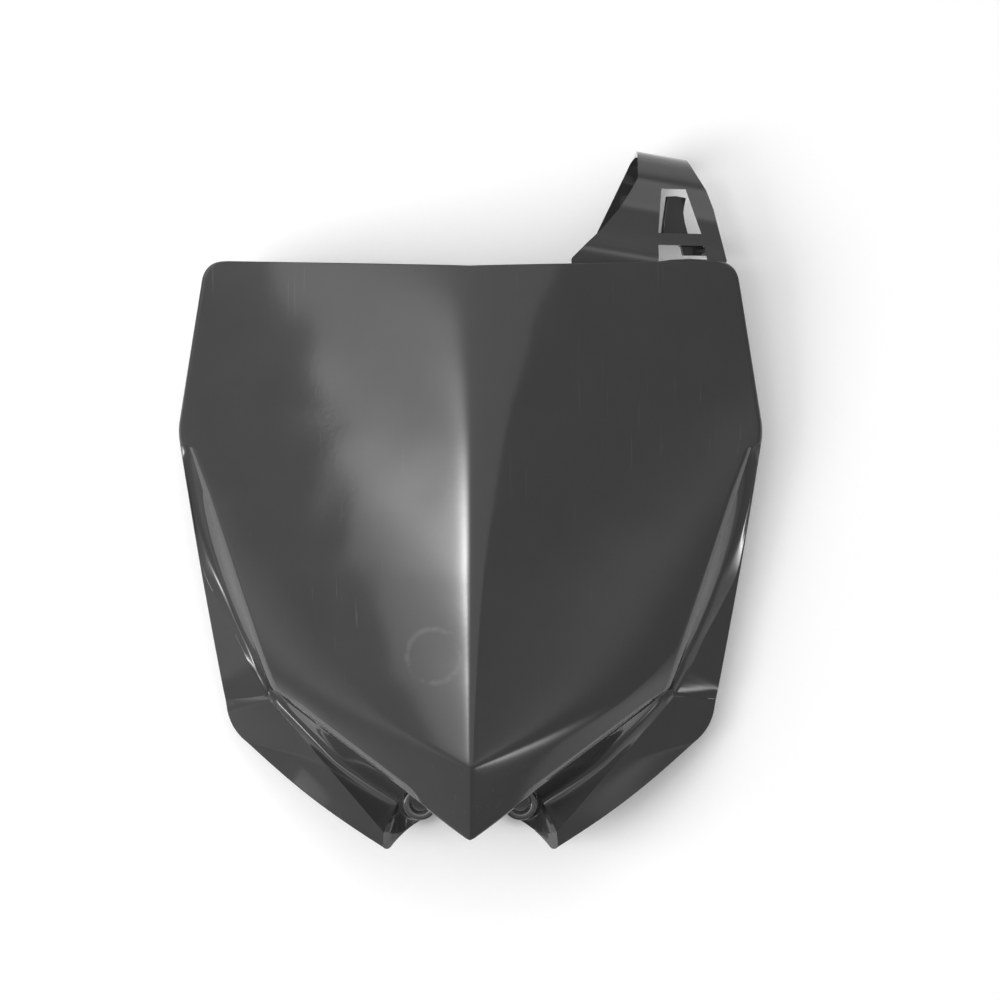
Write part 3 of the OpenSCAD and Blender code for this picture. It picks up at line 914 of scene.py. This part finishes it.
def make_table():
    """White board seen from the front only, with a painted shadow close behind the peg holes."""
    n = Nodes(bpy.data.materials.new("table_white"))
    path = n.add("LightPath")
    seen = n.math("MAXIMUM", path.outputs["Is Camera Ray"],
                  n.math("MAXIMUM", path.outputs["Is Glossy Ray"],
                         path.outputs["Is Transmission Ray"]))
    xyz = n.add("SeparateXYZ", {0: n.add("TexCoord").outputs["Object"]})
    side = n.math("SUBTRACT", n.math("ABSOLUTE", xyz.outputs[0]), PEG_X * MM)
    far = n.math("SQRT", n.math("ADD", n.math("MULTIPLY", side, side),
                                n.math("MULTIPLY", xyz.outputs[2], xyz.outputs[2])))
    # Painted shadow: the table's colour and glow fall to a tenth within 4 mm of each peg hole's
    # axis, fading out by 15 mm.
    outside_painted_shadow = n.ramp(far, 0.004, 0.015, 0.1, 1.0)
    matt = n.add("BsdfDiffuse", {"Color": n.add("Mix", {
        0: outside_painted_shadow, 6: (0, 0, 0, 1), 7: TABLE_WHITE}, data_type="RGBA").outputs[2]})
    glow = n.add("Emission", {"Color": (1, 1, 1, 1), "Strength": n.math(
        "MULTIPLY", n.math("MULTIPLY", seen, outside_painted_shadow), TABLE_GLOW)})
    lit = n.add("AddShader", {0: matt.outputs[0], 1: glow.outputs[0]})
    clear = n.add("BsdfTransparent")
    back = n.add("NewGeometry").outputs["Backfacing"]
    both = n.add("MixShader", {0: back, 1: lit.outputs[0], 2: clear.outputs[0]})
    mat = n.out(both.outputs[0])
    me = bpy.data.meshes.new("table")
    s = TABLE_HALF
    corners = [(-s, -s), (s, -s), (s, s), (-s, s)]
    me.from_pydata([(VIEW_X + x, TABLE_Y, VIEW_Z + z) for x, z in corners], [], [(0, 1, 2, 3)])
    ob = bpy.data.objects.new("table", me)
    bpy.context.scene.collection.objects.link(ob)
    me.materials.append(mat)
    ob.visible_diffuse = False
    ob.visible_transmission = False
    ob.visible_shadow = False


make_table()

# Brightness of the dim room, and of the wide light that the left panel mirrors.
ROOM, WIDE_LIGHT = 0.26, 0.42


def make_world():
    """Dim room around the board; its bright places lie where the plastic mirrors them."""
    n = Nodes(bpy.data.worlds.new("studio"))
    ray = n.add("SeparateXYZ", {0: n.add("TexCoord").outputs["Generated"]})
    rx, ry, rz = ray.outputs
    deg = math.degrees(1)
    left = n.math("MULTIPLY", n.math("ARCTAN2", n.math("MULTIPLY", rx, -1),
                                     n.math("MULTIPLY", ry, -1)), deg)
    up = n.math("MULTIPLY", n.math("ARCSINE", rz), deg)

    def hill(cx, wx, cz, wz, tilt=0.0):
        """Soft bright place at an azimuth and elevation, each followed by its width."""
        p = n.math("SUBTRACT", left, cx)
        q = n.math("SUBTRACT", n.math("ADD", up, n.math("MULTIPLY", p, tilt)), cz)
        p = n.math("POWER", n.math("DIVIDE", p, wx), 2)
        q = n.math("POWER", n.math("DIVIDE", q, wz), 2)
        return n.math("EXPONENT", n.math("MULTIPLY", n.math("ADD", p, q), -1))

    # The wide light ends in slanting lines on the left and the right, and below.
    slant = n.math("ADD", left, n.math("MULTIPLY", up, 0.7))
    slant = n.math("ADD", slant, n.math("MULTIPLY", n.math("ABSOLUTE", up), -0.2))
    steep = n.math("ADD", left, n.math("MULTIPLY", up, -0.12))
    inside = n.math("MULTIPLY", n.ramp(steep, -38.1, -37.4), n.ramp(slant, 44.7, 44.0))
    inside = n.math("MULTIPLY", inside, n.ramp(up, -9.0, -7.5))
    level = n.math("ADD", ROOM, n.math("MULTIPLY", inside, WIDE_LIGHT))
    near_left = n.math("MULTIPLY", inside, hill(44, 24, 0.5, 5.5))
    core = n.math("MULTIPLY", inside, hill(25, 14, -0.4, 2.5, 0.1))
    core = n.math("MULTIPLY", core, n.ramp(up, -3.6, -0.9, 0.4, 1.0))
    wing = n.math("MULTIPLY", n.ramp(left, 55.5, 57.0), hill(68, 18, -15, 6))
    cheek = n.math("MULTIPLY", n.ramp(left, -73.5, -75.5), hill(-84, 16, -28, 9))
    patches = [
        # left panel, strip beside the ridge, top of the panel, right side of the ridge
        (near_left, 0.65), (core, 13.5), (hill(24, 14, 4.6, 3), 1.7), (hill(6, 9, -0.4, 2), 1.6),
        # upper and lower left wing, right cheek and the fold beside the chin
        (hill(66, 14, 13, 9), 1.3), (wing, 0.35), (cheek, 0.7), (hill(-66, 4, -29, 3), 3.8),
        # rolled lower edge, strap, right tusk, ceiling
        (hill(106, 14, -36, 8), 9.0), (hill(-45, 5, 12, 5), 1.0), (hill(-48, 8, -9, 4), 0.45),
        (n.ramp(up, 14.0, 45.0), 0.7),
    ]
    for patch, strength in patches:
        level = n.math("ADD", level, n.math("MULTIPLY", patch, strength))
    lit = n.add("Background", {0: (1, 1, 1, 1), 1: level})
    white = n.add("Background", {0: (1, 1, 1, 1), 1: 1.0})
    seen = n.add("LightPath").outputs["Is Camera Ray"]
    both = n.add("MixShader", {0: seen, 1: lit.outputs[0], 2: white.outputs[0]})
    n.add("OutputWorld", {"Surface": both.outputs[0]})
    bpy.context.scene.world = n.owner


make_world()

AIM = Vector((0.0, 0.0, 0.12))


def softbox(name, azimuth, elevation, distance, width, height, watts):
    """Area light at AIM; azimuth 0 is in front of the board and grows to the left."""
    a, e = math.radians(azimuth), math.radians(elevation)
    away = Vector((-math.sin(a) * math.cos(e), -math.cos(a) * math.cos(e), math.sin(e)))
    light = bpy.data.lights.new(name, "AREA")
    light.shape = "RECTANGLE"
    light.size, light.size_y, light.energy = width, height, watts
    ob = bpy.data.objects.new(name, light)
    ob.location = AIM + away * distance
    ob.rotation_euler = (-away).to_track_quat("-Z", "Y").to_euler()
    bpy.context.scene.collection.objects.link(ob)
    return ob


key = softbox("key", azimuth=54, elevation=-9, distance=1.5, width=1.0, height=0.8, watts=14)
key.visible_glossy = False


def make_camera():
    """Camera square to the board, with FRAME_M metres across the picture at PLANE_Y."""
    distance = 2.0
    cam = bpy.data.cameras.new("camera")
    cam.sensor_width = 36
    cam.lens = 36 * distance / FRAME_M
    cam.clip_start, cam.clip_end = 0.05, 20
    ob = bpy.data.objects.new("camera", cam)
    ob.location = (VIEW_X, PLANE_Y - distance, VIEW_Z)
    ob.rotation_euler = (math.pi / 2, 0, 0)
    bpy.context.scene.collection.objects.link(ob)
    bpy.context.scene.camera = ob


make_camera()

bpy.context.scene.view_settings.view_transform = "Standard"
bpy.context.view_layer.update()
